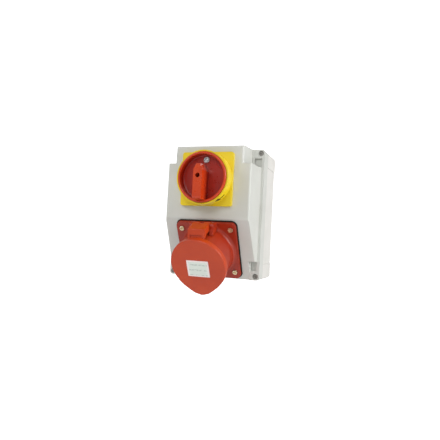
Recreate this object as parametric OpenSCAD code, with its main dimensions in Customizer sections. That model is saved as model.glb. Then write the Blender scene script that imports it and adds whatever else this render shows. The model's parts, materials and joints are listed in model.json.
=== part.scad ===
// Wall-mounted enclosure with a lockable rotary isolator switch above and a lidded round socket-outlet
// on the sloped lower front. Millimetres. X to the right, Y into the wall, Z up.
// The origin is the centre of the enclosure's back face.

/* [Enclosure] */
// Width of the enclosure
enclosure_w = 124; // [120:1:150]
// Height of the enclosure
enclosure_h = 168; // [160:1:204]
// Distance from the wall to the joint between base and cover
joint_depth = 44; // [40:1:52]
// Height of the corner pads above the joint
pad_rise = 19; // [15:1:22]
// Height of the front plateau above the corner pads
plateau_rise = 37; // [33:1:43]
// Wall thickness of the mouldings
wall_t = 3; // [2.4:0.1:3.6]
// Radius of the enclosure's outer corners
corner_r = 4; // [3:0.5:6]
// Angle by which the lower front slopes back
slope_tilt = 29; // [26:1:32]
// Height of the sloped lower front, measured up the wall
slope_h = 75; // [70:1:82]
// Fixing screw spacing across the wall
wall_screw_x = 96; // [80:1:100]
// Fixing screw spacing up the wall
wall_screw_z = 140; // [120:1:144]

/* [Switch] */
// Height of the switch axis above the enclosure's centre
switch_z = 39.5; // [38:0.5:42]
// Side of the square front plate
plate_side = 67; // [60:1:70]
// Outer radius of the handle's rim
handle_r = 31; // [29:0.5:31.5]
// Depth of the handle from its rim to the front plate
handle_h = 18; // [15:1:22]
// Width of the grip bar
grip_w = 11; // [9:0.5:13]
// Height of the grip bar above the rim
grip_rise = 12.5; // [9:0.5:14]
// Radius of the switch shaft
shaft_r = 4; // [3.5:0.1:5]
// Angle that the handle turns between off and on
turn_angle = 90; // [90:1:90]
// Travel of a contact bridge between open and closed
contact_travel = 2.5; // [2:0.1:3]

/* [Socket] */
// Side of the square socket flange
flange_side = 78; // [76:1:80]
// Distance from the bend down the slope to the socket axis
socket_s = 42.5; // [42:0.5:44]
// Outer radius of the socket collar
collar_r = 33; // [31.5:0.5:33.5]
// Height of the collar's front edge above the slope
collar_h = 39.5; // [36:0.5:44]
// Radius of the contact insert
insert_r = 21.5; // [20:0.5:22]
// Diameter of a phase or neutral plug pin
pin_d = 5; // [4:0.5:6]
// Diameter of the earth plug pin
earth_pin_d = 7; // [6:0.5:8]
// Radius of the circle through the contacts
contact_circle_r = 13; // [12:0.5:14]
// Distance from the slope to the hinge pin
hinge_l = 15; // [13:0.5:17]
// Radius of the hinge pin
hinge_pin_r = 1.5; // [1.2:0.1:2]

/* [Hidden] */
$fn = 64;
EPS = 0.01;
pad_depth = joint_depth + pad_rise;
front_depth = pad_depth + plateau_rise;
half_w = enclosure_w / 2;
half_h = enclosure_h / 2;
bend_z = slope_h - half_h;

// Gasket between base and cover
gasket_t = 0.6;
gasket_w = 1.6;
// Draft and flare of the plateau, and the rim strip beside it
rim_strip = 3.7;
side_flare = 3.3;
tab_flare = 0.6;
top_draft = 2.2;
tab_half = half_w - 17;
tab_drop = 24;
edge_r = 2.5;
// Corner pads beside the foot of the slope
foot_pad_w = 12.5;
pad_pocket_depth = 3.5;
pocket_h = 11;
// Fixing holes in the back wall
wall_screw_r = 2.6;
// Cover screws
cover_screw_inset = 5;
screw_head_r = 3.1;
screw_head_h = 2.4;
screw_r = 1.9;
boss_r = 5;

// Switch
plate_t = 5;
plate_r = 3;
collar_wall = 1.7;
turn_gap = 0.4;
seal_outer = 27;
seal_inner = 24;
seal_groove = 1.2;
switch_screw_half = 27;
plate_collar_h = 15.8;
dish_wall = 3;
dish_fillet = 1.5;
dish_floor = 7.5;
handle_front = front_depth + plate_t + handle_h;
handle_back = front_depth + plate_t + 0.4;
shaft_gap = 0.05;
hub_r = 8;
bearing_block_t = 5;
detent_t = 8;
stage_t = 12;
stage_w = 60;
stage_h = 44;
end_plate_t = 3;
inner_front = front_depth - wall_t;
stage_front_depth = inner_front - bearing_block_t - detent_t;
stage_depths = [stage_front_depth - stage_t, stage_front_depth - 2 * stage_t];
switch_rear = stage_front_depth - 2 * stage_t - end_plate_t;
cam_off_r = 11;
cam_gap = 0.25;
cam_step = 5;
tie_bolt_x = 26;
tie_bolt_z = 18;
tie_r = 1.5;
grip_tip = 16.8;
eyelet_up = 22;
eyelet_x = 2;
eyelet_r = 4.2;
contact_gap = 0.2;
bridge_t = 1.2;
bridge_len = 22;
fixed_t = 1.2;
fixed_x = 15;
bridge_x = fixed_x + fixed_t + contact_gap + contact_travel;
spring_wire = 0.5;
spring_r = 2.2;
spring_turns = 4;
terminal_screw_r = 1.8;
terminal_z = 27;

// Socket
flange_t = 4;
flange_r = 6;
socket_gasket_t = 1.5;
gasket_lip = 1.4;
gap_r = 29.4;
flange_screw_x = 64;
flange_screw_s = 60;
insert_face = 32;
insert_rear = -22;
carrier_r = 27.5;
carrier_flange_t = 3;
sleeve_wall = 0.9;
sleeve_gap = 0.1;
contact_step = 72;
carrier_screw_r = 1;
flange_l = socket_gasket_t;
lid_front = collar_h + 5;
lid_r = 35.3;
lid_gap = 0.8;
lid_t = 3;
lid_skirt_l = collar_h - 1.8;
hinge_s = 3;
knuckle_r = 4.6;
arm_w = 21.5;
arm_panel_w = 16;
arm_panel_t = 1.2;
arm_front = 37;
ear_in = arm_w / 2 + 0.4;
ear_out = ear_in + 4.4;
ear_r = 4.2;
nose = [[27.8, -21.5], [22.3, -28], [15.4, -34], [9, -38.8], [0, -41.6]];
label_w = 28;
label_h = 22;
label_t = 0.25;
label_s = 46;
spring_slot = 7;

// Internal wires, as hand-set route points: x, depth from the wall, z
wire_r = 1.7;
wire_sides = 8;
wire_steps = 3;
wire_l1_route = [
    [15.6, 79, 11.9], [16, 77, 4], [15, 66, -6], [12, 52, -9], [9, 43, -12], [7.6, 44, -16.8], [7.6,
        50, -18.8],
    [7.6, 56.8, -21.7]
];
wire_l2_route = [
    [-15.6, 79, 11.9], [-16, 77, 4], [-15, 66, -6], [-12, 52, -9], [-9, 43, -12], [-7.6, 44, -16.8],
        [-7.6, 50, -18.8],
    [-7.6, 56.8, -21.7]
];
wire_l3_route = [
    [15.6, 67, 11.7], [17, 64, 3], [18, 54, -10], [16, 42, -20], [13.5, 36, -26], [12.4, 37.7, -29.7],
    [12.4, 43.7, -31.7], [12.4, 49.6, -34.6]
];
wire_n_route = [
    [-15.6, 67, 11.7], [-17, 64, 3], [-18, 54, -10], [-16, 42, -20], [-13.5, 36, -26], [-12.4, 37.7, -29.7],
    [-12.4, 43.7, -31.7], [-12.4, 49.6, -34.6]
];
wire_pe_route = [
    [4, 12.5, -61.2], [4, 14, -54], [3, 22, -45], [1, 30, -39], [0, 35.7, -38.1], [0, 39.7, -39.6], [0,
        45.6, -42.5]
];
earth_block_z = -66;
earth_block = [34, 9, 9];
earth_foot_h = 5;

// Cable entry in the top wall
entry_depth = 28;
entry_r = 12.5;
entry_head_r = 15;
entry_head_h = 5;
entry_seal_t = 1.2;
entry_nut_t = 5;
knockout_groove = 0.8;

// ---- Helpers ----

// Local X to the right, local Y up the wall, local Z out of it from the given depth
module at_front(depth) translate([0, -depth, 0]) rotate([90, 0, 0]) children();

// A front outline made solid between two depths
module slab(from, to) at_front(from) linear_extrude(to - from) children();

// A front outline on the switch axis made solid between two depths
module switch_slab(from, to) translate([0, 0, switch_z]) slab(from, to) children();

// An outline of depth against height carried across the given width
module across(width) rotate([90, 0, -90]) linear_extrude(width, center = true) children();

// Local Y points up the slope from the socket axis, local Z out of the slope
module on_socket()
    translate([0, -front_depth, bend_z]) rotate([90 + slope_tilt, 0, 0]) translate([0, -socket_s,
        0]) children();

module socket_slab(from, to) on_socket() translate([0, 0, from]) linear_extrude(to - from) children();

// An outline of up-slope distance against height above the slope, carried across the given width
module socket_across(width)
    on_socket() rotate([90, 0, 90]) linear_extrude(width, center = true) children();

function unit(v) = v / norm(v);

// Points of the arc that rounds corner b, between its neighbours a and c
function corner_arc(a, b, c, r, steps = 6) =
    let (
        u = unit(a - b),
        v = unit(c - b),
        half = acos(u * v) / 2,
        centre = b + unit(u + v) * r / sin(half),
        start = b + u * r / tan(half) - centre,
        end = b + v * r / tan(half) - centre,
        from = atan2(start[1], start[0]),
        turn = atan2(end[1], end[0]) - from,
        sweep = turn > 180 ? turn - 360 : turn < -180 ? turn + 360 : turn
    )
    r <= 0 ? [b] : [for (i = [0:steps]) centre + r * [cos(from + sweep * i / steps),
        sin(from + sweep * i / steps)]];

// An outline with each corner rounded by its own radius
function rounded(p, r) = [
    for (i = [0:len(p) - 1])
        each corner_arc(p[(i + len(p) - 1) % len(p)], p[i], p[(i + 1) % len(p)], r[i])
];

module rounded_rect(w, h, r) {
    square([w - 2 * r, h], center = true);
    square([w, h - 2 * r], center = true);
    for (x = [-1, 1], y = [-1, 1])
        translate([x * (w / 2 - r), y * (h / 2 - r)]) circle(r);
}

module ring(outer, inner) difference() {
    circle(outer);
    circle(inner);
}

// Copies at the four corners of a rectangle
module at_corners(x, y) for (sx = [-1, 1], sy = [-1, 1]) translate([sx * x, sy * y]) children();

// Screw along local Z: the head's top is at 0, and its cross recess is cut into it
module screw(head_r, head_h, r, length) {
    difference() {
        translate([0, 0, -head_h]) cylinder(r = head_r, h = head_h);
        for (turn = [0, 90])
            rotate([0, 0, turn]) translate([0, 0, -head_h * 0.2]) cube([head_r * 1.2, head_r * 0.3,
                head_h], center = true);
    }
    translate([0, 0, -length]) cylinder(r = r, h = length - head_h + EPS);
}

// Rings of points round a route, joined into one closed tube
module tube(route, r, sides) {
    last = len(route) - 1;
    points = [
        for (i = [0:last])
            let (
                along = unit(route[min(i + 1, last)] - route[max(i - 1, 0)]),
                side = unit(cross(along, [1, 0, 0])),
                up = cross(side, along)
            )
            for (k = [0:sides - 1])
                route[i] + r * (cos(360 * k / sides) * side + sin(360 * k / sides) * up)
    ];
    walls = [
        for (i = [0:last - 1], k = [0:sides - 1])
            let (n = (k + 1) % sides, a = i * sides, b = (i + 1) * sides)
            each [[a + k, a + n, b + n], [a + k, b + n, b + k]]
    ];
    start_cap = [for (k = [sides - 1:-1:0]) k];
    end_cap = [for (k = [0:sides - 1]) last * sides + k];
    polyhedron(points = points, faces = concat(walls, [start_cap, end_cap]), convexity = 6);
}

// Catmull-Rom curve through the points, with the ends doubled
function smooth_route(p, steps) = [
    for (i = [0:len(p) - 2], j = [0:(i == len(p) - 2 ? steps : steps - 1)])
        let (
            a = p[max(i - 1, 0)],
            b = p[i],
            c = p[i + 1],
            d = p[min(i + 2, len(p) - 1)],
            t = j / steps
        )
        0.5 * (2 * b + (c - a) * t + (2 * a - 5 * b + 4 * c - d) * t * t + (3 * b - a - 3 * c + d) * t
            * t * t)
];

// Coil along local Z, as a swept wire with flat ends
module coil(radius, wire, length, turns) {
    sides = 6;
    per_turn = 14;
    rings = turns * per_turn;
    points = [
        for (i = [0:rings])
            let (a = 360 * i / per_turn, z = wire / 2 + (length - wire) * i / rings)
            for (k = [0:sides - 1])
                let (out = radius + wire / 2 * cos(360 * k / sides), rise = wire / 2 * sin(360 * k / sides))
                [out * cos(a), out * sin(a), z + rise]
    ];
    walls = [
        for (i = [0:rings - 1], k = [0:sides - 1])
            let (n = (k + 1) % sides, a = i * sides, b = (i + 1) * sides)
            each [[a + k, b + k, b + n], [a + k, b + n, a + n]]
    ];
    start_cap = [for (k = [0:sides - 1]) k];
    end_cap = [for (k = [sides - 1:-1:0]) rings * sides + k];
    polyhedron(points = points, faces = concat(walls, [start_cap, end_cap]), convexity = 10);
}

// ---- Enclosure ----

cover_back = joint_depth + gasket_t / 2;
base_front = joint_depth - gasket_t / 2;
pad_floor = pad_depth - pad_pocket_depth - wall_t;
shoulder_z = half_h - tab_drop;
foot_half = half_w - foot_pad_w;
panel_recess = 0.8;
column_h = 20;

function slope_depth(z) = front_depth - (bend_z - z) * tan(slope_tilt);

// Depth against height of the plateau and slope, drawn inset by a wall thickness t
module side_outline(t) {
    top = half_h - t;
    foot = -half_h + t;
    drop = t / cos(slope_tilt);
    front = front_depth - t;
    turn_z = bend_z + (drop - t) / tan(slope_tilt);
    polygon(rounded([
        [cover_back - t, top],
        [pad_depth - t, top],
        [front, top - top_draft],
        [front, turn_z],
        [slope_depth(foot) - drop, foot],
        [cover_back - t, foot]
    ], [0, 0, t > 0 ? 0 : edge_r, 6, 0, 0]));
}

// Half-width against depth of a flared block, seen from above and carried up from bottom to top
module flared(foot_half_w, front_half_w, bottom, top, t) {
    front = front_depth - t;
    translate([0, 0, bottom]) mirror([0, 1, 0]) linear_extrude(top - bottom)
        polygon(rounded([
            [-foot_half_w + t, cover_back - t],
            [-foot_half_w + t, pad_depth - t],
            [-front_half_w + t, front],
            [front_half_w - t, front],
            [foot_half_w - t, pad_depth - t],
            [foot_half_w - t, cover_back - t]
        ], [0, 0, t > 0 ? 0 : edge_r, t > 0 ? 0 : edge_r, 0, 0]));
}

module plateau(t) {
    body_foot = half_w - rim_strip;
    intersection() {
        across(enclosure_w) side_outline(t);
        union() {
            flared(body_foot, body_foot - side_flare, t - shoulder_z, shoulder_z - t, t);
            flared(foot_half, foot_half, -half_h, bend_z, t);
            flared(tab_half + tab_flare, tab_half, -half_h, half_h, t);
        }
    }
}

module cover_screw_places() at_corners(half_w - cover_screw_inset, half_h - cover_screw_inset) children();

module corner_pockets() {
    top_x = tab_half + 4;
    foot_x = foot_half + 1.5;
    outer_x = half_w - rim_strip;
    for (side = [0, 1]) mirror([side, 0]) {
        translate([top_x, shoulder_z + 1.5]) square([outer_x - top_x, pocket_h]);
        translate([foot_x, -shoulder_z - 1 - pocket_h]) square([outer_x - foot_x, pocket_h]);
    }
}

module cover() {
    color("gainsboro") difference() {
        union() {
            difference() {
                slab(cover_back, pad_depth) rounded_rect(enclosure_w, enclosure_h, corner_r);
                across(2 * foot_half) polygon([
                    [front_depth, bend_z],
                    [slope_depth(-half_h - 5), -half_h - 5],
                    [front_depth, -half_h - 5]
                ]);
                slab(pad_depth - pad_pocket_depth, front_depth) corner_pockets();
            }
            intersection() {
                plateau(0);
                slab(cover_back, front_depth + 1) square([enclosure_w, enclosure_h], center = true);
            }
        }
        difference() {
            intersection() {
                across(enclosure_w) side_outline(wall_t);
                union() {
                    plateau(wall_t);
                    slab(cover_back - wall_t, pad_floor)
                        square([enclosure_w - 2 * wall_t, enclosure_h - 2 * wall_t], center = true);
                }
            }
            slab(cover_back, pad_depth) cover_screw_places() circle(boss_r);
        }
        slab(joint_depth - wall_t, front_depth) cover_screw_places() circle(screw_r + 0.3);
        slab(pad_depth - 1 - screw_head_h, front_depth) cover_screw_places() circle(screw_head_r + 0.4);
        switch_slab(inner_front - 1, front_depth + 1) circle(hub_r + 0.5);
        switch_slab(inner_front - 1, front_depth + 1) switch_screw_places() circle(screw_r + 0.2);
        switch_slab(front_depth - seal_groove, front_depth + 1) ring(seal_outer, seal_inner);
        socket_slab(-2 * wall_t, wall_t) circle(carrier_r + 1.5);
        socket_slab(-2 * wall_t, wall_t) at_corners(flange_screw_x / 2,
            flange_screw_s / 2) circle(screw_r - 0.3);
    }
}

module cover_gasket() {
    color("dimgray") slab(base_front, cover_back) difference() {
        rounded_rect(enclosure_w - 1.4, enclosure_h - 1.4, corner_r - 0.7);
        rounded_rect(enclosure_w - 1.4 - 2 * gasket_w, enclosure_h - 1.4 - 2 * gasket_w, corner_r - 1.5);
    }
}

module cover_screws() {
    color("gray") for (x = [-1, 1], z = [-1, 1])
        translate([x * (half_w - cover_screw_inset), 0, z * (half_h - cover_screw_inset)])
            at_front(pad_depth - 1) screw(screw_head_r, screw_head_h, screw_r, 34);
}

module base_box() {
    inner_half = half_w - wall_t - panel_recess;
    color("whitesmoke") difference() {
        union() {
            difference() {
                slab(0, base_front) rounded_rect(enclosure_w, enclosure_h, corner_r);
                slab(wall_t, base_front + 1) square([2 * inner_half, enclosure_h - 2 * wall_t],
                    center = true);
            }
            slab(0, base_front) cover_screw_places() circle(boss_r);
            slab(0, wall_t + 2) at_corners(wall_screw_x / 2, wall_screw_z / 2) circle(wall_screw_r + 3);
            translate([0, 0, earth_block_z]) slab(0, wall_t + earth_foot_h)
                square([earth_block[0] + 4, earth_block[1] - 2], center = true);
        }
        for (side = [-1, 1]) translate([side * (half_w + 5 - panel_recess), 0, 0])
            slab(-1, joint_depth + 1) square([10, enclosure_h - 2 * column_h], center = true);
        slab(base_front - 31, base_front + 1) cover_screw_places() circle(screw_r + 0.02);
        slab(-1, wall_t + 3) at_corners(wall_screw_x / 2, wall_screw_z / 2) circle(wall_screw_r);
        translate([0, -entry_depth, half_h - 2 * wall_t]) cylinder(r = entry_r + 0.3, h = 3 * wall_t);
        translate([0, -entry_depth, -half_h - EPS]) linear_extrude(knockout_groove) ring(entry_r,
            entry_r - 0.8);
    }
}

module entry_plug() {
    color("gainsboro") translate([0, -entry_depth, half_h]) {
        difference() {
            translate([0, 0, entry_seal_t]) cylinder(r = entry_head_r, h = entry_head_h);
            translate([0, 0, entry_seal_t + entry_head_h - 1.5]) cube([16, 2.5, 4], center = true);
        }
        translate([0, 0, -wall_t - entry_nut_t - 2])
            cylinder(r = entry_r, h = wall_t + entry_nut_t + 2 + entry_seal_t + EPS);
    }
}

module entry_plug_seal() {
    color("black") translate([0, -entry_depth, half_h]) linear_extrude(entry_seal_t) ring(entry_head_r,
        entry_r + 0.1);
}

module entry_locknut() {
    color("gainsboro") translate([0, -entry_depth, half_h - wall_t - entry_nut_t]) difference() {
        cylinder(r = entry_head_r + 1, h = entry_nut_t, $fn = 6);
        translate([0, 0, -1]) cylinder(r = entry_r + 0.02, h = entry_nut_t + 2);
    }
}

// ---- Rotary switch ----

plate_front = front_depth + plate_t;
floor_depth = plate_front + dish_floor;
grip_front = handle_front + grip_rise;
shaft_front = floor_depth + 3;

module switch_screw_places() at_corners(switch_screw_half, switch_screw_half) children();

module front_plate() {
    collar_outer = handle_r + turn_gap + collar_wall;
    color("gold") difference() {
        union() {
            switch_slab(front_depth, plate_front) rounded_rect(plate_side, plate_side, plate_r);
            switch_slab(plate_front - 1, plate_front + plate_collar_h) ring(collar_outer,
                handle_r + turn_gap);
        }
        switch_slab(front_depth - 1, plate_front + 1) circle(hub_r + 0.5);
        switch_slab(front_depth - 1, plate_front - 1) switch_screw_places() circle(screw_r + 0.02);
    }
}

module front_plate_seal() {
    color("black") switch_slab(front_depth - seal_groove, front_depth) ring(seal_outer - 0.1,
        seal_inner + 0.1);
}

// Outline of the grip bar seen from the side: height from the axis against depth
module grip_side() {
    tail = -(handle_r - 2.5);
    polygon(rounded([
        [floor_depth - 1, tail],
        [grip_front, tail + 1],
        [grip_front, grip_tip - 3],
        [floor_depth - 1, grip_tip]
    ], [0, 3, 1.5, 0]));
}

// Outline of the grip bar seen from the front, pointed at the top
module grip_front_outline() {
    half = grip_w / 2;
    polygon(rounded([
        [-half, -handle_r],
        [half, -handle_r],
        [half, grip_tip - 10],
        [0.8, grip_tip],
        [-0.8, grip_tip],
        [-half, grip_tip - 10]
    ], [0, 0, 2, 0.7, 0.7, 2]));
}

module handle() {
    inner_r = handle_r - dish_wall;
    depth = handle_front - handle_back;
    floor_h = floor_depth - handle_back;
    color("firebrick") difference() {
        union() {
            translate([0, 0, switch_z]) at_front(handle_back) rotate_extrude() polygon(concat(
                [[0, floor_h - 3], [inner_r - 1, floor_h - 3], [inner_r - 1, 0], [handle_r, 0]],
                corner_arc([handle_r, 0], [handle_r, depth], [0, depth], 1.2),
                corner_arc([handle_r, depth], [inner_r, depth], [inner_r, 0], 1.2),
                corner_arc([inner_r, depth], [inner_r, floor_h], [0, floor_h], dish_fillet),
                [[0, floor_h]]
            ));
            switch_slab(handle_back, floor_depth) circle(hub_r + 2);
            intersection() {
                translate([0, 0, switch_z]) across(grip_w + 2) grip_side();
                switch_slab(handle_back, grip_front + 1) grip_front_outline();
            }
        }
        switch_slab(handle_back - 1, shaft_front + 0.5) circle(shaft_r + 0.02);
        switch_slab(handle_back - 1, shaft_front + 4) circle(screw_r + 0.2);
        switch_slab(shaft_front + 4, grip_front + 1) circle(screw_r + 0.9);
        translate([eyelet_x, 0, switch_z + eyelet_up]) slab(floor_depth - 1,
            floor_depth + 1) circle(eyelet_r);
    }
}

module handle_screw() {
    color("dimgray") translate([0, 0, switch_z]) at_front(shaft_front + 6) screw(screw_r + 0.7, 2,
        screw_r - 0.2, 16);
}

module lock_eyelet() {
    color("rosybrown") translate([eyelet_x, 0, switch_z + eyelet_up]) at_front(floor_depth - 0.98)
        rotate_extrude()
        polygon([
            [0, 0], [eyelet_r - 0.02, 0], [eyelet_r - 0.02, 1.4], [eyelet_r - 0.7, 2.4],
                [eyelet_r - 1.4, 2.4],
            [eyelet_r - 1.9, 0.6], [1.4, 0.6], [1.2, 1.9], [0, 2.1]
        ]);
}

module switch_shaft() {
    color("silver") difference() {
        switch_slab(switch_rear + 0.5, shaft_front) circle(shaft_r);
        switch_slab(shaft_front - 12, shaft_front + 1) circle(screw_r - 0.18);
    }
}

module detent_wheel() {
    color("ivory") switch_slab(stage_front_depth + 1, stage_front_depth + detent_t - 1) difference() {
        circle(14);
        circle(shaft_r + 0.01);
        for (turn = [0:90:270]) rotate(turn + 45) translate([15.5, 0]) circle(2.8);
    }
}

// Cam radius, falling evenly over the turn from off to on and rising again past a short dwell
function cam_r(a) =
    let (b = a % 180, on_r = cam_off_r - contact_travel)
    b <= turn_angle ? cam_off_r - contact_travel * b / turn_angle
    : b <= turn_angle + 15 ? on_r
    : b <= turn_angle + 70 ? on_r + contact_travel * (b - turn_angle - 15) / 55
    : cam_off_r;

module switch_cams() {
    color("ivory") for (depth = stage_depths)
        switch_slab(depth + 3, depth + stage_t - 1) difference() {
            polygon([for (a = [0:cam_step:360 - cam_step]) cam_r(a) * [cos(a), sin(a)]]);
            circle(shaft_r + 0.01);
        }
}

module switch_bearing_block() {
    color("dimgray") difference() {
        union() {
            switch_slab(inner_front - bearing_block_t, inner_front) square(2 * switch_screw_half + 6,
                center = true);
            switch_slab(inner_front - 1, plate_front) circle(hub_r);
        }
        switch_slab(inner_front - bearing_block_t - 1, plate_front + 1) circle(shaft_r + shaft_gap);
        switch_slab(inner_front - bearing_block_t - 1, inner_front + 1) switch_screw_places()
            circle(screw_r + 0.02);
        switch_slab(inner_front - bearing_block_t - 1, inner_front - 1) tie_places() circle(tie_r + 0.02);
    }
}

module tie_places() at_corners(tie_bolt_x, tie_bolt_z) children();

module detent_housing() {
    color("slategray") difference() {
        switch_slab(stage_front_depth, stage_front_depth + detent_t) square([stage_w, stage_h],
            center = true);
        switch_slab(stage_front_depth + 0.7, stage_front_depth + detent_t + 1) circle(15);
        switch_slab(stage_front_depth - 1, stage_front_depth + 2) circle(shaft_r + 0.3);
        switch_slab(stage_front_depth - 1, stage_front_depth + detent_t + 1) tie_places() circle(tie_r
            + 0.02);
    }
}

module switch_mounting_screws() {
    color("gray") for (x = [-1, 1], z = [-1, 1])
        translate([x * switch_screw_half, 0, switch_z + z * switch_screw_half])
            translate([0, -(inner_front - bearing_block_t - 2), 0]) rotate([-90, 0, 0])
                screw(screw_r + 1.4, 2, screw_r, bearing_block_t + wall_t + plate_t + 1);
}

// One contact stage from the given rear depth: a block with a cam well and a slot to each side
module contact_stage(depth) {
    floor_t = 2;
    slot_x = stage_w / 2 - 2;
    difference() {
        switch_slab(depth, depth + stage_t) square([stage_w, stage_h], center = true);
        switch_slab(depth + floor_t, depth + stage_t + 1) {
            circle(cam_off_r + 1);
            square([2 * slot_x, 10], center = true);
            for (side = [-1, 1]) translate([side * (fixed_x + slot_x) / 2, 0])
                square([slot_x - fixed_x + 0.4, bridge_len + 3], center = true);
        }
        switch_slab(depth - 1, depth + stage_t + 1) {
            circle(shaft_r + 0.3);
            tie_places() circle(tie_r + 0.02);
        }
        for (side = [-1, 1]) switch_slab(depth + 4, depth + stage_t + 1)
            translate([side * (fixed_x + fixed_t / 2), 0]) square([fixed_t + 0.04, stage_h + 2],
                center = true);
    }
}

module contact_stage_front() color("darkslategray") contact_stage(stage_depths[0]);

module contact_stage_rear() color("darkslategray") contact_stage(stage_depths[1]);

module switch_end_plate() {
    color("slategray") difference() {
        switch_slab(switch_rear, switch_rear + end_plate_t) square([stage_w, stage_h], center = true);
        switch_slab(switch_rear + 0.4, switch_rear + end_plate_t + 1) circle(shaft_r + shaft_gap);
        switch_slab(switch_rear - 1, switch_rear + end_plate_t + 1) tie_places() circle(tie_r + 0.02);
    }
}

module tie_bolts() {
    color("silver") for (x = [-1, 1], z = [-1, 1])
        translate([x * tie_bolt_x, -switch_rear, switch_z + z * tie_bolt_z]) rotate([-90, 0, 0])
            translate([0, 0, 2]) screw(tie_r + 1.2, 2, tie_r, inner_front - switch_rear + 1);
}

// Where the four pairs of fixed contacts stand: side of the shaft, above or below it, and stage
module contact_strips(half_w_z, from_z)
    for (depth = stage_depths, side = [-1, 1], rise = [-1, 1])
        translate([0, 0, switch_z]) slab(depth + 4.5, depth + 9.5)
            translate([side * (fixed_x + fixed_t / 2) - fixed_t / 2, rise > 0 ? from_z : -half_w_z])
                square([fixed_t, half_w_z - from_z]);

module fixed_contacts() {
    color("goldenrod") difference() {
        contact_strips(terminal_z, 6);
        terminal_axes() cylinder(r = terminal_screw_r + 0.02, h = 8, center = true);
    }
}

module terminal_axes()
    for (depth = stage_depths, side = [-1, 1], rise = [-1, 1])
        translate([side * (fixed_x + fixed_t / 2), -(depth + 7), switch_z + rise * (terminal_z - 2.2)])
            rotate([0, side * 90, 0]) children();

module switch_terminal_screws() {
    color("silver") terminal_axes() translate([0, 0, fixed_t / 2 + 2])
        screw(terminal_screw_r + 0.6, 2, terminal_screw_r, 6);
}

// Plunger with a narrow nose on the cam, a neck between the fixed contacts and a head that holds the bridge
module plunger(depth) {
    tip = cam_off_r + cam_gap;
    head = bridge_x + bridge_t + 1.2;
    difference() {
        switch_slab(depth + 4, depth + 10) {
            translate([tip + 1.2, 0]) circle(1.2);
            translate([tip + 1.2, -1.2]) square([2, 2.4]);
            translate([tip + 2, -4]) square([head - tip - 2, 8]);
        }
        switch_slab(depth + 5, depth + 9) translate([bridge_x - 0.02, -6]) square([bridge_t + 0.04, 12]);
    }
}

module bridge(depth) {
    switch_slab(depth + 5.02, depth + 8.98) {
        translate([bridge_x, -bridge_len / 2]) square([bridge_t, bridge_len]);
    }
}

module contact_spring(depth) {
    start = bridge_x + bridge_t + 1.2 + 0.05;
    translate([start, -(depth + 7), switch_z]) rotate([0, 90, 0])
        coil(spring_r, spring_wire, stage_w / 2 - 2 - 0.05 - start, spring_turns);
}

module plungers_right() color("ivory") for (depth = stage_depths) plunger(depth);

module plungers_left() color("ivory") mirror([1, 0, 0]) for (depth = stage_depths) plunger(depth);

module contact_bridges_right() color("goldenrod") for (depth = stage_depths) bridge(depth);

module contact_bridges_left() color("goldenrod") mirror([1, 0, 0]) for (depth = stage_depths) bridge(depth);

module contact_springs_right() color("silver") for (depth = stage_depths) contact_spring(depth);

module contact_springs_left() color("silver") mirror([1, 0, 0]) for (depth = stage_depths)
    contact_spring(depth);

// ---- Socket-outlet ----

pin_up = socket_s - hinge_s;
flange_front = flange_l + flange_t;

module flange_screw_axes() on_socket()
    for (x = [-1, 1], y = [-1, 1]) translate([x * flange_screw_x / 2, y * flange_screw_s / 2, 0]) children();

module socket_gasket() {
    color("black") socket_slab(0, socket_gasket_t) difference() {
        rounded_rect(flange_side + 2 * gasket_lip, flange_side + 2 * gasket_lip, flange_r + gasket_lip);
        circle(carrier_r + 1.5);
        at_corners(flange_screw_x / 2, flange_screw_s / 2) circle(screw_r + 0.2);
    }
}

module hinge_ear_outline() {
    polygon([
        [collar_r - 2, flange_l],
        [flange_side / 2 - 0.5, flange_l],
        [pin_up + ear_r, hinge_l - 1],
        [pin_up - 1, hinge_l + ear_r - 0.2],
        [collar_r - 2, hinge_l + 9]
    ]);
    translate([pin_up, hinge_l]) circle(ear_r);
}

module socket_housing() {
    ledge_l = flange_l + 3;
    color("firebrick") difference() {
        union() {
            socket_slab(flange_l, flange_front) rounded_rect(flange_side, flange_side, flange_r);
            on_socket() rotate_extrude() polygon(concat(
                [[insert_r + 3, flange_l], [collar_r + 5, flange_l], [collar_r + 5, flange_front]],
                corner_arc([collar_r + 5, flange_front], [collar_r, flange_front], [collar_r, collar_h], 4.9),
                corner_arc([collar_r, flange_front], [collar_r, collar_h], [gap_r, collar_h], 1),
                corner_arc([collar_r, collar_h], [gap_r, collar_h], [gap_r, ledge_l], 0.6),
                [[gap_r, ledge_l], [insert_r + 3, ledge_l]]
            ));
            for (side = [-1, 1]) on_socket() translate([side * (ear_in + ear_out) / 2, 0, 0])
                rotate([90, 0, 90]) linear_extrude(ear_out - ear_in, center = true) hinge_ear_outline();
        }
        on_socket() translate([0, 0, ledge_l]) cylinder(r = gap_r, h = collar_h);
        on_socket() translate([0, 0, -1]) cylinder(r = insert_r + 3, h = collar_h);
        flange_screw_axes() cylinder(r = screw_r + 0.02, h = 3 * flange_front, center = true);
        flange_screw_axes() translate([0, 0, flange_front - 1]) cylinder(r = screw_head_r + 0.5, h = 5);
        carrier_screw_axes() cylinder(r = carrier_screw_r + 0.02, h = 40, center = true);
        on_socket() translate([0, pin_up, hinge_l]) rotate([0, 90, 0])
            cylinder(r = hinge_pin_r + 0.02, h = 2 * ear_out + 2, center = true);
    }
}

module carrier_screw_axes() on_socket()
    for (turn = [45:90:315]) rotate([0, 0, turn]) translate([insert_r + 4.6, 0, 0]) children();

module socket_flange_screws() {
    color("burlywood") flange_screw_axes() translate([0, 0, flange_front + 1])
        screw(screw_head_r, 2, screw_r - 0.35, flange_front + 8);
}

module contact_places(first, count)
    for (i = [first:first + count - 1])
        rotate([0, 0, -90 + contact_step * i]) translate([contact_circle_r, 0, 0]) children();

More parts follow.
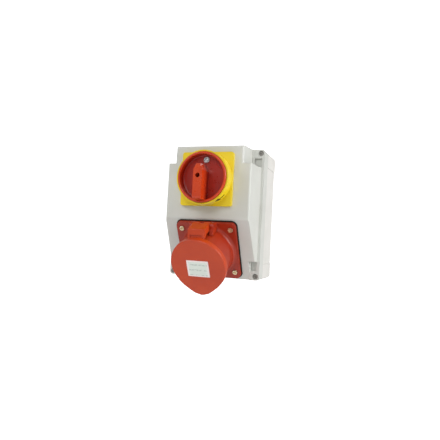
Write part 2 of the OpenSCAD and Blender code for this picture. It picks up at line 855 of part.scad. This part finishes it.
module contact_carrier() {
    color("dimgray") difference() {
        union() {
            on_socket() translate([0, 0, insert_rear]) cylinder(r = insert_r, h = insert_face - insert_rear);
            socket_slab(flange_l - carrier_flange_t, flange_l) circle(carrier_r);
        }
        on_socket() translate([0, 0, insert_face - 2]) contact_places(1,
            4) cylinder(r = pin_d / 2 + 0.1, h = 3);
        on_socket() translate([0, 0, insert_face - 2]) contact_places(0,
            1) cylinder(r = earth_pin_d / 2 + 0.1, h = 3);
        on_socket() translate([0, 0, insert_rear - 1]) contact_places(1, 4)
            cylinder(r = pin_d / 2 + sleeve_gap + sleeve_wall + 0.02, h = insert_face - 2 - insert_rear + 1);
        on_socket() translate([0, 0, insert_rear - 1]) contact_places(0, 1)
            cylinder(r = earth_pin_d / 2 + sleeve_gap + sleeve_wall + 0.02,
                h = insert_face - 2 - insert_rear + 1);
        carrier_screw_axes() cylinder(r = carrier_screw_r + 0.02, h = 40, center = true);
    }
}

module carrier_screws() {
    color("silver") carrier_screw_axes() translate([0, 0, flange_l - carrier_flange_t - 1.5])
        mirror([0, 0, 1])
        screw(carrier_screw_r + 1, 1.5, carrier_screw_r, carrier_flange_t + 1.5 + 2.5);
}

// Contact sleeve: a tube from the face end back to a solid terminal end behind the carrier
module sleeve(d) {
    inner = d / 2 + sleeve_gap;
    difference() {
        translate([0, 0, insert_rear - 9]) cylinder(r = inner + sleeve_wall,
            h = insert_face - 2 - insert_rear + 9);
        translate([0, 0, insert_face - 34]) cylinder(r = inner, h = 40);
        translate([0, 0, insert_rear - 5]) rotate([0, 90, 0]) cylinder(r = 1.02, h = 20);
        translate([0, 0, insert_rear - 10]) cylinder(r = wire_r - 0.5, h = 5.5);
    }
}

module phase_contacts() color("goldenrod") on_socket() contact_places(1, 4) sleeve(pin_d);

module earth_contact() color("goldenrod") on_socket() contact_places(0, 1) sleeve(earth_pin_d);

module contact_terminal_screws() {
    color("silver") on_socket() {
        contact_places(1, 4) translate([pin_d / 2 + sleeve_gap + sleeve_wall + 1.8, 0, insert_rear - 5])
            rotate([0, 90, 0]) screw(1.7, 1.5, 1, 5);
        contact_places(0, 1) translate([earth_pin_d / 2 + sleeve_gap + sleeve_wall + 1.8, 0, insert_rear - 5])
            rotate([0, 90, 0]) screw(1.7, 1.5, 1, 5);
    }
}

module nose_outline() polygon(rounded(
    concat(nose, [for (i = [3:-1:0]) [-nose[i][0], nose[i][1]]]),
    [0, 8, 8, 8, 8, 8, 8, 8, 0]
));

arm_top = pin_up + knuckle_r;

// Height above the slope of the lid arm's front face, falling up the slope
function arm_face(up) = arm_front - 4 + (arm_top - up) * 0.48;

// Side outline of the lid arm, open behind its front between the collar and the hinge column
module arm_outline() polygon(rounded([
    [pin_up - knuckle_r + 0.3, hinge_l],
    [arm_top, hinge_l],
    [arm_top, arm_face(arm_top)],
    [collar_r + 0.9, arm_face(collar_r + 0.9)],
    [collar_r + 0.9, arm_front - 3],
    [pin_up - 3.5, arm_front - 8]
], [0, 0, 1.5, 0, 0, 2]));

module lid() {
    inner_r = collar_r + lid_gap;
    under = lid_front - lid_t;
    color("firebrick") difference() {
        union() {
            on_socket() rotate_extrude() polygon(concat(
                [[0, under], [inner_r, under], [inner_r, lid_skirt_l], [lid_r, lid_skirt_l]],
                corner_arc([lid_r, lid_skirt_l], [lid_r, lid_front], [0, lid_front], 1.5),
                [[0, lid_front]]
            ));
            difference() {
                socket_slab(under - 1.5, lid_front) nose_outline();
                socket_slab(under - 3, under) circle(inner_r);
                socket_slab(under - 3, lid_front + 1) circle(lid_r - 2);
            }
            difference() {
                socket_across(arm_w) {
                    arm_outline();
                    translate([pin_up, hinge_l]) circle(knuckle_r);
                }
                on_socket() cylinder(r = inner_r, h = collar_h + 1);
                difference() {
                    socket_across(arm_panel_w) polygon([
                        [collar_r, arm_face(collar_r) - arm_panel_t],
                        [pin_up - 2, arm_face(pin_up - 2) - arm_panel_t],
                        [pin_up - 2, arm_front + 5],
                        [collar_r, arm_front + 5]
                    ]);
                    on_socket() cylinder(r = lid_r, h = lid_front);
                }
            }
        }
        on_socket() translate([0, pin_up, hinge_l]) rotate([0, 90, 0]) {
            cylinder(r = hinge_pin_r + shaft_gap, h = arm_w + 2, center = true);
            cylinder(r = knuckle_r + 0.3, h = spring_slot, center = true);
        }
    }
}

module lid_seal() {
    color("black") socket_slab(collar_h + 0.4, lid_front - lid_t) ring(collar_r - 0.2, gap_r - 0.4);
}

module hinge_pin() {
    color("silver") on_socket() translate([0, pin_up, hinge_l]) rotate([0, 90, 0])
        cylinder(r = hinge_pin_r, h = 2 * ear_out - 0.4, center = true);
}

module lid_spring() {
    color("silver") on_socket() translate([-spring_slot / 2 + 0.4, pin_up, hinge_l]) rotate([0, 90, 0])
        coil(hinge_pin_r + 0.7, 0.8, spring_slot - 0.8, 6);
}

module rating_label() {
    color("white") socket_slab(lid_front, lid_front + label_t)
        translate([0, socket_s - label_s]) rounded_rect(label_w, label_h, 0.8);
}

// ---- Wiring ----

module wire(route) tube(smooth_route([for (p = route) [p[0], -p[1], p[2]]], wire_steps), wire_r, wire_sides);

module wire_l1() color("saddlebrown") wire(wire_l1_route);

module wire_l2() color("black") wire(wire_l2_route);

module wire_l3() color("gray") wire(wire_l3_route);

module wire_n() color("royalblue") wire(wire_n_route);

module wire_pe() color("yellowgreen") wire(wire_pe_route);

module earth_terminal() {
    back = wall_t + earth_foot_h;
    color("goldenrod") difference() {
        translate([0, 0, earth_block_z]) slab(back, back + earth_block[2])
            square([earth_block[0], earth_block[1]], center = true);
        translate([0, 0, earth_block_z]) slab(back + 1, back + earth_block[2] + 1)
            for (i = [-1.5:1:1.5]) translate([i * 8, 0]) circle(1.52);
    }
}

module earth_terminal_screws() {
    front = wall_t + earth_foot_h + earth_block[2];
    color("silver") for (i = [-1.5:1:1.5]) translate([i * 8, 0, earth_block_z])
        at_front(front + 2) screw(2.4, 2, 1.5, 8);
}

base_box();
cover();
cover_gasket();
cover_screws();
entry_plug();
entry_plug_seal();
entry_locknut();
front_plate();
front_plate_seal();
handle();
handle_screw();
lock_eyelet();
switch_shaft();
detent_wheel();
switch_cams();
switch_bearing_block();
detent_housing();
switch_mounting_screws();
contact_stage_front();
contact_stage_rear();
switch_end_plate();
tie_bolts();
fixed_contacts();
switch_terminal_screws();
plungers_left();
contact_bridges_left();
contact_springs_left();
plungers_right();
contact_bridges_right();
contact_springs_right();
socket_gasket();
socket_housing();
socket_flange_screws();
contact_carrier();
carrier_screws();
phase_contacts();
earth_contact();
contact_terminal_screws();
lid();
lid_seal();
hinge_pin();
lid_spring();
rating_label();
wire_l1();
wire_l2();
wire_l3();
wire_n();
wire_pe();
earth_terminal();
earth_terminal_screws();
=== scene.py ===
"""A wall-mounted isolator and socket unit: a light grey box with a red and yellow rotary switch above and a
red lidded outlet on its sloped lower front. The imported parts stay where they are. Each one that can be seen
gets a copy with evenly shaded walls and rounded edges. The field and faint rules of the label and the pointer
mark on the switch's collar are made here."""
import json
from math import atan2, cos, pi, radians, sin

import bmesh
import bpy
import numpy as np
from mathutils import Matrix, Vector


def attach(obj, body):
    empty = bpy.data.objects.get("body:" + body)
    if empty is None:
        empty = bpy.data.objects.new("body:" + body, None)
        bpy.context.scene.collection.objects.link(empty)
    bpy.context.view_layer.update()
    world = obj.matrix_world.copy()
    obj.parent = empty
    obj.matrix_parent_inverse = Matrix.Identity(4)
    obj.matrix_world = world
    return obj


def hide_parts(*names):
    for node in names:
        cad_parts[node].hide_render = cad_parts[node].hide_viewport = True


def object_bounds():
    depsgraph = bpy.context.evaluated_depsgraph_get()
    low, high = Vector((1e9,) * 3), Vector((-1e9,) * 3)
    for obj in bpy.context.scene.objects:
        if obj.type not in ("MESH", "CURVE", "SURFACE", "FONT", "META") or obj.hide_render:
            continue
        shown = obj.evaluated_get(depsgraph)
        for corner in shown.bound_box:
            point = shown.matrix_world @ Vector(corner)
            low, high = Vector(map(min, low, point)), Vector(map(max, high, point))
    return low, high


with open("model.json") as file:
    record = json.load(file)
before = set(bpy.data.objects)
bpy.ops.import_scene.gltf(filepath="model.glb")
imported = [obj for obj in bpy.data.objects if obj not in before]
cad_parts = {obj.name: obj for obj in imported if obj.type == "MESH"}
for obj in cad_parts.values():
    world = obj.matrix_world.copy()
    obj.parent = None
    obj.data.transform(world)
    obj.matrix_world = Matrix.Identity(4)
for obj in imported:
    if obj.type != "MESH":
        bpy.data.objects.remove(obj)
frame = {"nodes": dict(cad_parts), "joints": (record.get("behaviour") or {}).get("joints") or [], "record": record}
cad_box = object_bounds()

MM = 0.001
record = frame["record"]
nodes = frame["nodes"]


# ---- Colours and material nodes ----

# The colour sockets of a Mix node share their names with its other sockets, so they go by number
MIX_A, MIX_B, MIX_RESULT = 6, 7, 2
# A noise texture rarely leaves this middle part of its range, which is stretched to the whole of it
NOISE_LOW, NOISE_HIGH = 0.3, 0.7
# Radius over which a moulded edge catches the light as if it were rounded
EDGE_ROUND = 0.45 * MM
PVC_IOR = 1.54


def paint(code):
    """An sRGB hex colour as linear RGBA."""
    c = np.array([int(code[i:i + 2], 16) for i in (0, 2, 4)]) / 255
    linear = np.where(c <= 0.04045, c / 12.92, ((c + 0.055) / 1.055) ** 2.4)
    return (*linear, 1.0)


def per_mm(size):
    """The texture scale that gives features of the given size in millimetres."""
    return 1 / (size * MM)


def add_node(tree, kind, inputs=None, **settings):
    """Adds a node, sets its settings, and sets or links each named input."""
    made = tree.nodes.new("ShaderNode" + kind)
    for key, value in settings.items():
        setattr(made, key, value)
    for key, value in (inputs or {}).items():
        if isinstance(value, bpy.types.NodeSocket):
            tree.links.new(value, made.inputs[key])
        else:
            made.inputs[key].default_value = value
    return made


def new_finish(name):
    """An empty material with its shader, its tree and the piece's own coordinates."""
    material = bpy.data.materials.new(name)
    material.use_nodes = True
    tree = material.node_tree
    tree.nodes.clear()
    shader = add_node(tree, "BsdfPrincipled")
    add_node(tree, "OutputMaterial", {"Surface": shader.outputs[0]})
    place = add_node(tree, "TexCoord").outputs["Object"]
    return material, tree, shader, place


def noise(tree, place, size, detail=2.0, rough=0.5):
    """A noise value with features of the given size in millimetres."""
    made = add_node(tree, "TexNoise", {
        "Vector": place, "Scale": per_mm(size), "Detail": detail, "Roughness": rough})
    return made.outputs[0]


def stretched(tree, value, to_low=0.0, to_high=1.0, low=NOISE_LOW, high=NOISE_HIGH):
    """A value moved from one range to another, and held at its ends."""
    made = add_node(tree, "MapRange", {
        "Value": value, "From Min": low, "From Max": high, "To Min": to_low, "To Max": to_high})
    return made.outputs[0]


def blended(tree, share, first, second):
    """One colour fading into another."""
    made = add_node(tree, "Mix", {"Factor": share, MIX_A: first, MIX_B: second}, data_type="RGBA")
    return made.outputs[MIX_RESULT]


def moulded(name, main, shade, rough, ior=1.53, grain=0.5, depth=0.012):
    """Injection-moulded plastic: an even colour that drifts a little with the flow of the melt, a fine
    eroded grain from the tool, and slight changes of gloss where hands and cloths have polished it."""
    material, tree, shader, place = new_finish(name)
    flow = stretched(tree, noise(tree, place, size=26, rough=0.45))
    skin = noise(tree, place, size=grain, detail=3.0, rough=0.6)
    rub = noise(tree, place, size=9, detail=4.0, rough=0.55)
    polish = 0.05
    rounded = add_node(tree, "Bevel", {"Radius": EDGE_ROUND}, samples=6)
    bump = add_node(tree, "Bump", {
        "Height": skin, "Strength": 0.6, "Distance": depth * MM, "Normal": rounded.outputs[0]})
    tree.links.new(blended(tree, flow, paint(main), paint(shade)), shader.inputs["Base Color"])
    tree.links.new(stretched(tree, rub, rough - polish, rough + polish), shader.inputs["Roughness"])
    tree.links.new(bump.outputs[0], shader.inputs["Normal"])
    shader.inputs["IOR"].default_value = ior
    return material


def paint_dish_shade(material, edge, floor, dark):
    """Paints shade into a finish along the piece's own Y axis, from the edge of a recess to its floor (metres):
    painted shade that makes a deep dish darker towards its floor than at its rim."""
    tree = material.node_tree
    shader = next(n for n in tree.nodes if n.type == "BSDF_PRINCIPLED")
    plain = shader.inputs["Base Color"].links[0].from_socket
    place = next(n for n in tree.nodes if n.type == "TEX_COORD").outputs["Object"]
    along = add_node(tree, "SeparateXYZ", {"Vector": place}).outputs["Y"]
    # Painted shade: the colour fades into the dark colour from the rim's depth down to the floor's depth
    colour = blended(tree, stretched(tree, along, low=edge, high=floor), plain, paint(dark))
    tree.links.new(colour, shader.inputs["Base Color"])


def plated(name, main, shade, rough, brush=0.18):
    """Plated or drawn metal: full metal, with fine tool lines in the bump and patches of tarnish."""
    material, tree, shader, place = new_finish(name)
    lines = noise(tree, place, size=brush)
    spots = noise(tree, place, size=2.2, detail=4.0, rough=0.6)
    tarnish = stretched(tree, spots, low=0.35, high=0.65)
    wear = 0.08
    bump = add_node(tree, "Bump", {"Height": lines, "Strength": 0.5, "Distance": 0.006 * MM})
    tree.links.new(blended(tree, tarnish, paint(main), paint(shade)), shader.inputs["Base Color"])
    tree.links.new(stretched(tree, spots, rough - wear, rough + wear), shader.inputs["Roughness"])
    tree.links.new(bump.outputs[0], shader.inputs["Normal"])
    shader.inputs["Metallic"].default_value = 1.0
    return material


def green_yellow_cover(name):
    """PVC wire cover in green with yellow stripes, 4 mm apart along the wire."""
    material, tree, shader, place = new_finish(name)
    stripes = add_node(tree, "TexWave", {"Vector": place, "Scale": per_mm(4) / 6, "Distortion": 0.4},
                       wave_type="BANDS", bands_direction="DIAGONAL")
    step = stretched(tree, stripes.outputs["Fac"], low=0.45, high=0.55)
    tree.links.new(blended(tree, step, paint("2f8a3a"), paint("e6d22a")), shader.inputs["Base Color"])
    shader.inputs["Roughness"].default_value = 0.4
    shader.inputs["IOR"].default_value = PVC_IOR
    return material


# Depths below the handle's rim at which the painted shade in its dish starts and is at its darkest
DISH_EDGE = 1.5 * MM
DISH_DEPTH = 7 * MM

# Light grey polycarbonate, satin from a spark-eroded tool: a soft sheen and no clear reflections
grey_cover = moulded("moulded_polycarbonate_grey", "d0d1cb", "cacbc4", 0.42, ior=1.58)
grey_base = moulded("moulded_polycarbonate_pale_grey", "dfddd8", "d8d6d0", 0.45, ior=1.58)
# Die-moulded EPDM: nearly black, dull, with a powdery bloom
seal_rubber = moulded("moulded_EPDM_rubber", "17130f", "221b15", 0.72, ior=1.5, grain=0.3, depth=0.02)
# Polyamide dyed through, glossier than the box
yellow_polyamide = moulded("moulded_polyamide_yellow", "ead022", "e3c616", 0.34)
red_polyamide_painted_shade = moulded("moulded_polyamide_red_painted_dish_shade", "cc400c", "c03406", 0.3)
handle_points = np.array([v.co for v in nodes["handle"].data.vertices])
handle_side = np.abs(handle_points[:, 0])
handle_rim = handle_points[handle_side > 0.8 * handle_side.max(), 1].min()
# Painted shade in the handle's dish, darkest at its floor
paint_dish_shade(red_polyamide_painted_shade, handle_rim + DISH_EDGE, handle_rim + DISH_DEPTH, "a01a02")
# The housing is given a deeper red than the lid as painted shade, for the shadow on its flange beside the collar
socket_polyamide = moulded("moulded_polyamide_socket_red", "c4400c", "b83606", 0.36)
housing_red_painted_shade = moulded("moulded_polyamide_housing_red_painted_shade", "aa2c06", "9c2402", 0.36)
ivory_acetal = moulded("moulded_acetal_ivory", "e6dcc0", "ddd2b4", 0.3, ior=1.48)
dark_phenolic = moulded("pressed_phenolic_black", "1d1d1e", "262525", 0.38, ior=1.6)
# Screws and springs
dark_screw_steel = plated("phosphated_steel", "a8a6a0", "8a8882", 0.42)
zinc_screw_steel = plated("zinc_plated_steel", "e6e6e6", "cdcfd0", 0.26)
yellow_zinc = plated("passivated_zinc_steel", "efe2c4", "d8bf90", 0.3)
spring_wire = plated("drawn_spring_steel", "a9aaab", "8f9091", 0.28)
contact_brass = plated("turned_brass", "d8b25a", "b98f3c", 0.26, brush=0.3)

finishes = {
    "enclosure_cover": grey_cover,
    "enclosure_base": grey_base,
    "black_rubber": seal_rubber,
    "yellow_plastic": yellow_polyamide,
    "red_plastic": red_polyamide_painted_shade,
    "socket_red": socket_polyamide,
    "ivory_plastic": ivory_acetal,
    "dark_plastic": dark_phenolic,
    "dark_steel": dark_screw_steel,
    "zinc_steel": zinc_screw_steel,
    "yellow_zinc_steel": yellow_zinc,
    "spring_steel": spring_wire,
    "contact_brass": contact_brass,
    # Smooth polyester film with a faint pink cast at its border
    "label_film": moulded("polyester_label_film", "f6ebe8", "f3e6e3", 0.3, grain=0.8, depth=0.004),
    # Soft PVC wire covers, a little waxy
    "wire_brown": moulded("PVC_brown", "6b3d22", "5e341b", 0.4, grain=0.9),
    "wire_black": moulded("PVC_black", "1b1a1a", "242323", 0.4, grain=0.9),
    "wire_grey": moulded("PVC_grey", "7d7f80", "727475", 0.4, grain=0.9),
    "wire_blue": moulded("PVC_blue", "2b5fa8", "245397", 0.4, grain=0.9),
    "wire_green_yellow": green_yellow_cover("PVC_green_yellow"),
}

slot_of = {part["node"]: part["material_slot"] for part in record["subparts"]}
finish_of = {node: finishes[slot] for node, slot in slot_of.items()}
# The housing gets its own, darker red: painted shade for the shadow on its flange
finish_of["socket_housing"] = housing_red_painted_shade
body_of = {node: body for body, names in record["behaviour"]["bodies"].items() for node in names}


def give_finish(piece, material):
    piece.data.materials.clear()
    piece.data.materials.append(material)


for node, piece in nodes.items():
    give_finish(piece, finish_of[node])


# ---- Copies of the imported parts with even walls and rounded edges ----

# Two faces lie in one plane below the first angle, and the edge between them is a true edge above the second
FLAT = radians(0.3)
CREASE = radians(34)
# A flat region is wide from this area up, and beside a region smaller than itself by this ratio
WIDE_FACE = 30 * MM ** 2
WIDE_RATIO = 6
MERGE = 0.002 * MM

# Small parts have their edges cut round, by the width in millimetres. On the large mouldings the finish rounds
# the light on the edges, and the copy only gives their curved walls an even shading.
EDGE_WIDTHS = {
    "base_box": 0, "cover": 0, "entry_plug": 0.4, "front_plate": 0, "handle": 0,
    "handle_screw": 0.15, "lock_eyelet": 0.15, "socket_gasket": 0.3, "socket_housing": 0, "lid": 0,
    "cover_screws": 0.2, "socket_flange_screws": 0.2, "contact_carrier": 0, "hinge_pin": 0.15,
}


def flat_regions(shape):
    """The area of the flat region that each face belongs to, found by walking over edges that don't bend."""
    region_area = {}
    for start in shape.faces:
        if start in region_area:
            continue
        region, queue, area = {start}, [start], 0.0
        while queue:
            face = queue.pop()
            area += face.calc_area()
            for edge in face.edges:
                if len(edge.link_faces) == 2 and edge.calc_face_angle(pi) < FLAT:
                    fresh = [f for f in edge.link_faces if f not in region]
                    region.update(fresh)
                    queue.extend(fresh)
        region_area.update(dict.fromkeys(region, area))
    return region_area


def mark_creases(shape):
    """Shades curved walls smoothly, and parts them from their neighbours at each true edge and wherever a wide
    flat face meets narrow ones, so that a flat face stays evenly lit."""
    region_area = flat_regions(shape)
    for edge in shape.edges:
        sides = sorted(region_area[face] for face in edge.link_faces)
        bend = edge.calc_face_angle(pi)
        wide = len(sides) == 2 and sides[1] > max(WIDE_FACE, WIDE_RATIO * sides[0])
        edge.smooth = not (bend > CREASE or (bend > FLAT and wide))


def soften(node, width):
    """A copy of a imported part: its loose triangles are merged and its curved walls shaded evenly. Where a width
    in millimetres is given, every edge sharper than a crease is also cut round to that width."""
    mesh = nodes[node].data.copy()
    mesh.name = "soft_" + node
    shape = bmesh.new()
    shape.from_mesh(mesh)
    bmesh.ops.remove_doubles(shape, verts=shape.verts, dist=MERGE)
    if width:
        bmesh.ops.dissolve_limit(shape, angle_limit=radians(0.5), verts=shape.verts, edges=shape.edges)
    for face in shape.faces:
        face.smooth = True
    mark_creases(shape)
    shape.to_mesh(mesh)
    shape.free()
    piece = bpy.data.objects.new("soft_" + node, mesh)
    bpy.context.scene.collection.objects.link(piece)
    if width:
        bevel = piece.modifiers.new("rounded_edges", "BEVEL")
        bevel.width = width * MM
        bevel.segments = 2
        bevel.limit_method = "ANGLE"
        bevel.angle_limit = CREASE
        bevel.use_clamp_overlap = False
        bevel.harden_normals = False
        even = piece.modifiers.new("even_normals", "WEIGHTED_NORMAL")
        even.keep_sharp = True
        even.weight = 100
    give_finish(piece, finish_of[node])
    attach(piece, body_of[node])
    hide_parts(node)


for node, width in EDGE_WIDTHS.items():
    soften(node, width)


# ---- Frames of the sloped front and of the switch ----

# How far the middle of the outlet lies in front of the slope
OUTLET_RISE = 32 * MM

outlet = next(m for m in record["mounts"] if m["name"] == "socket_outlet")
out = np.array(outlet["axis"])
across = np.array([1.0, 0.0, 0.0])
up_slope = np.cross(out, across)
slope_tilt = atan2(-out[2], -out[1])
slope_at = np.array(outlet["pos_m"]) - out * OUTLET_RISE
handle_joint = next(j for j in frame["joints"] if j["name"] == "handle_turn")


def add_piece(name, points, faces, finish, node):
    """A new mesh piece with its place in its mesh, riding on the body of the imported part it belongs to."""
    mesh = bpy.data.meshes.new(name)
    mesh.from_pydata([tuple(p) for p in points], [], [tuple(f) for f in faces])
    mesh.update()
    piece = bpy.data.objects.new(name, mesh)
    bpy.context.scene.collection.objects.link(piece)
    give_finish(piece, finish)
    for polygon in mesh.polygons:
        polygon.use_smooth = True
    mesh.set_sharp_from_angle(angle=CREASE)
    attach(piece, body_of[node])
    return piece


# ---- The field of the label ----

def on_slope(x, up, out_by):
    """Points at x to the right, up the slope from the outlet's axis and out along it, in millimetres."""
    return slope_at + MM * (np.asarray(x)[..., None] * across + np.asarray(up)[..., None] * up_slope
                            + np.asarray(out_by)[..., None] * out)


def film(name, width, height, corner, rise, thick, centre_up, finish):
    """A thin film with round corners. Its outline is four quarter circles, corner * (cos t, sin t), each moved
    out to a corner of the film. It is set at the foot, at the top of the wall, and drawn in a little at the
    top face, which a fan closes."""
    turn = np.linspace(0, pi / 2, 10)
    quarter = np.stack([np.cos(turn), np.sin(turn)], 1) * corner
    signs = [(1, 1), (-1, 1), (-1, -1), (1, -1)]
    sides = [quarter if sx * sy > 0 else quarter[::-1] for sx, sy in signs]
    reach = [width / 2 - corner, height / 2 - corner]
    outline = np.concatenate([(side + reach) * sign for side, sign in zip(sides, signs)])
    wall_share, drawn_in = 0.6, 0.12
    top_rise = rise + thick
    rings = [(outline, rise), (outline, rise + thick * wall_share),
             (outline * (1 - drawn_in / width), top_rise)]
    count = len(outline)
    layers = [on_slope(ring[:, 0], ring[:, 1] + centre_up, np.full(count, level)) for ring, level in rings]
    layers.append(on_slope(np.zeros(1), np.array([centre_up]), np.array([top_rise])))
    points = np.concatenate(layers)
    i = np.arange(count)
    j = (i + 1) % count
    walls = [np.stack([i + low, j + low, j + low + count, i + low + count], 1) for low in (0, count)]
    fan = np.stack([i + 2 * count, j + 2 * count, np.full(count, len(points) - 1)], 1)
    faces = [*np.concatenate(walls).tolist(), *fan.tolist(), i[::-1].tolist()]
    add_piece(name, points, faces, finish, "rating_label")


def label_print(name):
    """Thermal print on film: a pale green-grey field with faint, broken rules 1.9 mm apart and no lettering."""
    material, tree, shader, place = new_finish(name)
    turned = add_node(tree, "Mapping", {"Vector": place, "Rotation": (radians(-90) + slope_tilt, 0, 0)})
    level = turned.outputs[0]
    rules = add_node(tree, "TexWave", {"Vector": level, "Scale": per_mm(1.9) / 20 * pi, "Distortion": 0.0},
                     wave_type="BANDS", bands_direction="Y")
    line = stretched(tree, rules.outputs["Fac"], low=0.72, high=0.95)
    broken = stretched(tree, noise(tree, level, size=2.4, detail=1.0), low=0.42, high=0.52)
    ink = add_node(tree, "Math", {0: line, 1: broken}, operation="MULTIPLY")
    weak = add_node(tree, "Math", {0: ink.outputs[0], 1: 0.42}, operation="MULTIPLY")
    colour = blended(tree, weak.outputs[0], paint("dfe6dd"), paint("8f9c96"))
    tree.links.new(colour, shader.inputs["Base Color"])
    shader.inputs["Roughness"].default_value = 0.35
    return material


# The border that the label keeps round its printed field, side to side and top to bottom
BORDER_ACROSS = 4.4
BORDER_UP = 3.6

label_points = np.array([v.co for v in nodes["rating_label"].data.vertices]) - slope_at
label_x = label_points[:, 0] / MM
label_ups = label_points @ up_slope / MM
label_up = label_ups.mean()
label_top = (label_points @ out).max() / MM
label_height = np.abs(label_ups - label_up).max() * 2
film("label_field", np.ptp(label_x) - BORDER_ACROSS, label_height - BORDER_UP, corner=0.5,
     rise=label_top - 0.02, thick=0.05, centre_up=label_up - 0.3, finish=label_print("printed_polyester_label"))


# ---- The pointer mark on the switch's collar ----

def pointer_mark(ink):
    """A dark arrow printed round the yellow collar's flank: a strip on the cylinder (r cos a, y, r sin a). Its
    angle a falls evenly from tail to tip while y climbs towards the rim. Its half width grows slowly along
    the shaft, jumps at the head and shrinks evenly to the tip."""
    tail_angle, sweep = radians(-37), radians(24)
    tail_depth, climb = 9.5, 3.5
    shaft_share, shaft_half, shaft_growth, head_half, tip_half = 0.55, 1.0, 0.6, 5.4, 0.1
    lift, thick = 0.06 * MM, 0.12 * MM

    axis_z = handle_joint["pos_m"][2]
    vertices = np.array([v.co for v in nodes["front_plate"].data.vertices])
    reach = np.hypot(vertices[:, 0], vertices[:, 2] - axis_z)
    rim_y = vertices[:, 1].min()
    radius = reach[vertices[:, 1] < rim_y + 0.1 * MM].max() + lift

    along = np.linspace(0, 1, 33)[:, None]
    side = np.linspace(-1, 1, 7)[None, :]
    head = head_half * (1 - along) / (1 - shaft_share) + tip_half
    half = np.where(along < shaft_share, shaft_half + shaft_growth * along, head)
    a = (tail_angle - along * sweep) + 0 * side
    y = rim_y + (tail_depth - climb * along + side * half) * MM
    points = np.concatenate([
        np.stack([r * np.cos(a), y, axis_z + r * np.sin(a)], -1).reshape(-1, 3)
        for r in (radius, radius - thick)])

    rows, columns = y.shape
    total = rows * columns
    row, column = np.meshgrid(np.arange(rows - 1), np.arange(columns - 1), indexing="ij")
    first = (row * columns + column).ravel()
    outer = np.stack([first, first + 1, first + columns + 1, first + columns], 1)
    inner = outer[:, ::-1] + total
    ring = np.concatenate([
        np.arange(columns), np.arange(1, rows) * columns + columns - 1,
        np.arange(total - 2, total - columns - 1, -1), np.arange(rows - 2, 0, -1) * columns])
    after = np.roll(ring, -1)
    edge = np.stack([after, ring, ring + total, after + total], 1)
    piece = add_piece("pointer_mark", points, np.concatenate([outer, inner, edge]).tolist(), ink, "front_plate")
    shape = bmesh.new()
    shape.from_mesh(piece.data)
    bmesh.ops.recalc_face_normals(shape, faces=shape.faces)
    shape.to_mesh(piece.data)
    shape.free()


# Pad-printed ink: black, dull, thinner than the plastic's own grain
pointer_mark(moulded("pad_printed_ink_black", "15120e", "201b14", 0.45, grain=0.25))


# ---- Room, light and camera ----

# The floor and the surround read as white, and only the surround and the lamps light the unit. The lamps stand
# to the sides and above, so the sides are bright and the deep dish and the slope under the lid stay dark.
AMBIENT = 0.38
WHITE_SURROUND = 1.3
LAMPS = [
    ("right_lamp", (1.4, -0.15, 0.5), 0.8, 14.0),
    ("left_lamp", (-1.0, -1.0, 0.9), 0.6, 5.0),
    ("front_lamp", (0.1, -1.5, 0.75), 0.6, 6.0),
]
LAMP_AIM = Vector((0, -0.06, 0))
FLOOR_HALF = 6.0
FLOOR_DROP = 0.22

CAMERA_AIM = Vector((0.00477, -0.06, -0.00852))
CAMERA_DISTANCE = 0.5761
CAMERA_AZIMUTH = radians(19.19)
CAMERA_RISE = radians(-2.64)
CAMERA_ROLL = radians(3.06)
LENS = 35.61


def lay_floor():
    """A wide white floor, well below the unit, painted matt."""
    low = cad_box[0][2] - FLOOR_DROP
    mesh = bpy.data.meshes.new("floor")
    corners = [(x * FLOOR_HALF, y * FLOOR_HALF, low) for x, y in ((-1, -1), (1, -1), (1, 1), (-1, 1))]
    mesh.from_pydata(corners, [], [(0, 1, 2, 3)])
    floor = bpy.data.objects.new("floor", mesh)
    bpy.context.scene.collection.objects.link(floor)
    material, tree, shader, place = new_finish("painted_floor_white")
    colour = blended(tree, noise(tree, place, size=300), paint("fdfdfd"), paint("ffffff"))
    tree.links.new(colour, shader.inputs["Base Color"])
    shader.inputs["Roughness"].default_value = 0.9
    shader.inputs["Specular IOR Level"].default_value = 0.0
    shader.inputs["Emission Color"].default_value = (1, 1, 1, 1)
    seen = add_node(tree, "LightPath").outputs["Is Camera Ray"]
    tree.links.new(seen, shader.inputs["Emission Strength"])
    give_finish(floor, material)


def light_room():
    """An even white surround and soft round lamps."""
    world = bpy.data.worlds.new("white_room")
    world.use_nodes = True
    tree = world.node_tree
    tree.nodes.clear()
    seen = add_node(tree, "LightPath").outputs["Is Camera Ray"]
    strength = stretched(tree, seen, AMBIENT, WHITE_SURROUND, low=0, high=1)
    light = add_node(tree, "Background", {"Color": (1, 1, 1, 1), "Strength": strength})
    add_node(tree, "OutputWorld", {"Surface": light.outputs[0]})
    bpy.context.scene.world = world
    for name, place, size, power in LAMPS:
        lamp = bpy.data.lights.new(name, "AREA")
        lamp.shape = "DISK"
        lamp.size = size
        lamp.energy = power
        holder = bpy.data.objects.new(name, lamp)
        holder.location = place
        holder.rotation_euler = (LAMP_AIM - Vector(place)).to_track_quat("-Z", "Y").to_euler()
        bpy.context.scene.collection.objects.link(holder)
    bpy.context.scene.view_settings.view_transform = "Standard"


def stand_camera():
    """The camera looks at its aim from the right and from slightly below, with a small roll."""
    level = cos(CAMERA_RISE)
    back = Vector((sin(CAMERA_AZIMUTH) * level, -cos(CAMERA_AZIMUTH) * level, sin(CAMERA_RISE)))
    level_right = (-back).cross(Vector((0, 0, 1))).normalized()
    level_up = level_right.cross(-back)
    right = cos(CAMERA_ROLL) * level_right + sin(CAMERA_ROLL) * level_up
    up = cos(CAMERA_ROLL) * level_up - sin(CAMERA_ROLL) * level_right
    lens = bpy.data.cameras.new("camera")
    lens.lens = LENS
    lens.sensor_width = 36
    camera = bpy.data.objects.new("camera", lens)
    turn = Matrix((right, up, back)).transposed().to_4x4()
    camera.matrix_world = Matrix.Translation(CAMERA_AIM + back * CAMERA_DISTANCE) @ turn
    bpy.context.scene.collection.objects.link(camera)
    bpy.context.scene.camera = camera


lay_floor()
light_room()
stand_camera()

bpy.context.view_layer.update()
